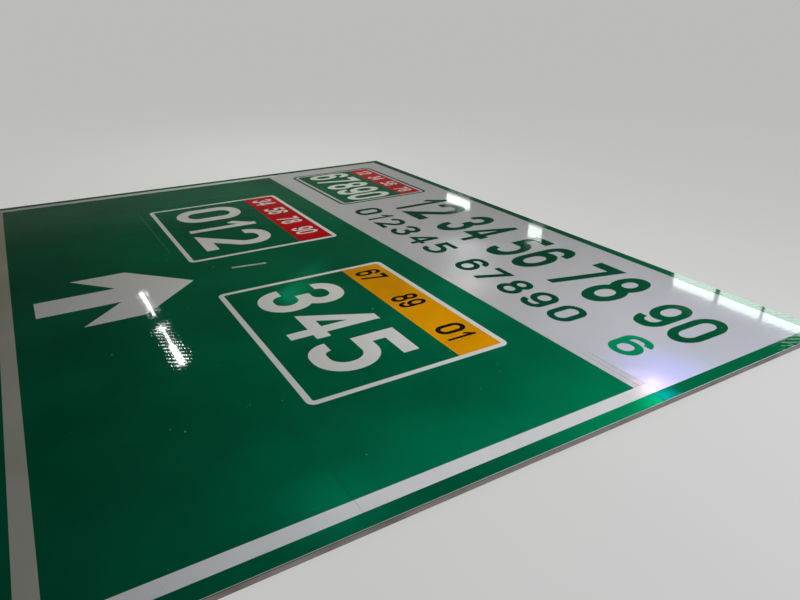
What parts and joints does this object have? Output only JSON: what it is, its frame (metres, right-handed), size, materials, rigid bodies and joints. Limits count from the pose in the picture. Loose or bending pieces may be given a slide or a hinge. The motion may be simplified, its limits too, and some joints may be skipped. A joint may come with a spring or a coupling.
{
  "type": "highway direction sign panel",
  "caption": "Large flat aluminium road sign panel with green and white reflective film, an arrow, three route shields, edge angles and slotted rails on its back.",
  "frame": {"origin": "on the floor, under the middle of the panel", "axes": "+X along the sign's width in reading direction, +Y up the sign as it is read, +Z out of its face"},
  "size_m": [4.76, 3.68, 0.029],
  "materials": {
    "sheet_aluminium": "mill finish rolled sheet",
    "extruded_aluminium": "mill finish extrusion",
    "film_green": "glossy prismatic reflective film",
    "film_white": "glossy prismatic reflective film",
    "film_red": "glossy reflective film",
    "film_amber": "glossy reflective film",
    "film_black": "glossy film"
  },
  "bodies": {
    "root": {"sheet_lower": "sheet_aluminium", "sheet_middle": "sheet_aluminium", "sheet_upper": "sheet_aluminium", "seam_strip_lower": "extruded_aluminium", "seam_strip_upper": "extruded_aluminium", "edge_angle_bottom": "extruded_aluminium", "edge_angle_top": "extruded_aluminium", "edge_angle_left": "extruded_aluminium", "edge_angle_right": "extruded_aluminium", "rail_1": "extruded_aluminium", "rail_2": "extruded_aluminium", "rail_3": "extruded_aluminium", "rail_4": "extruded_aluminium", "rail_5": "extruded_aluminium", "rail_6": "extruded_aluminium", "rail_7": "extruded_aluminium", "ground_film_lower": "film_green", "ground_film_middle": "film_green", "edge_strip_left": "film_green", "edge_strip_right": "film_green", "edge_strip_top": "film_green", "band_shield_rim": "film_green", "band_shield_field": "film_green", "ground_film_upper": "film_white", "border_tape_bottom": "film_white", "border_tape_top": "film_white", "border_tape_left": "film_white", "border_tape_right": "film_white", "arrow_film": "film_white", "shield_outline_left": "film_white", "shield_outline_right": "film_white", "shield_head_left": "film_red", "shield_head_right": "film_amber", "band_shield_head": "film_red"}
  },
  "joints": []
}
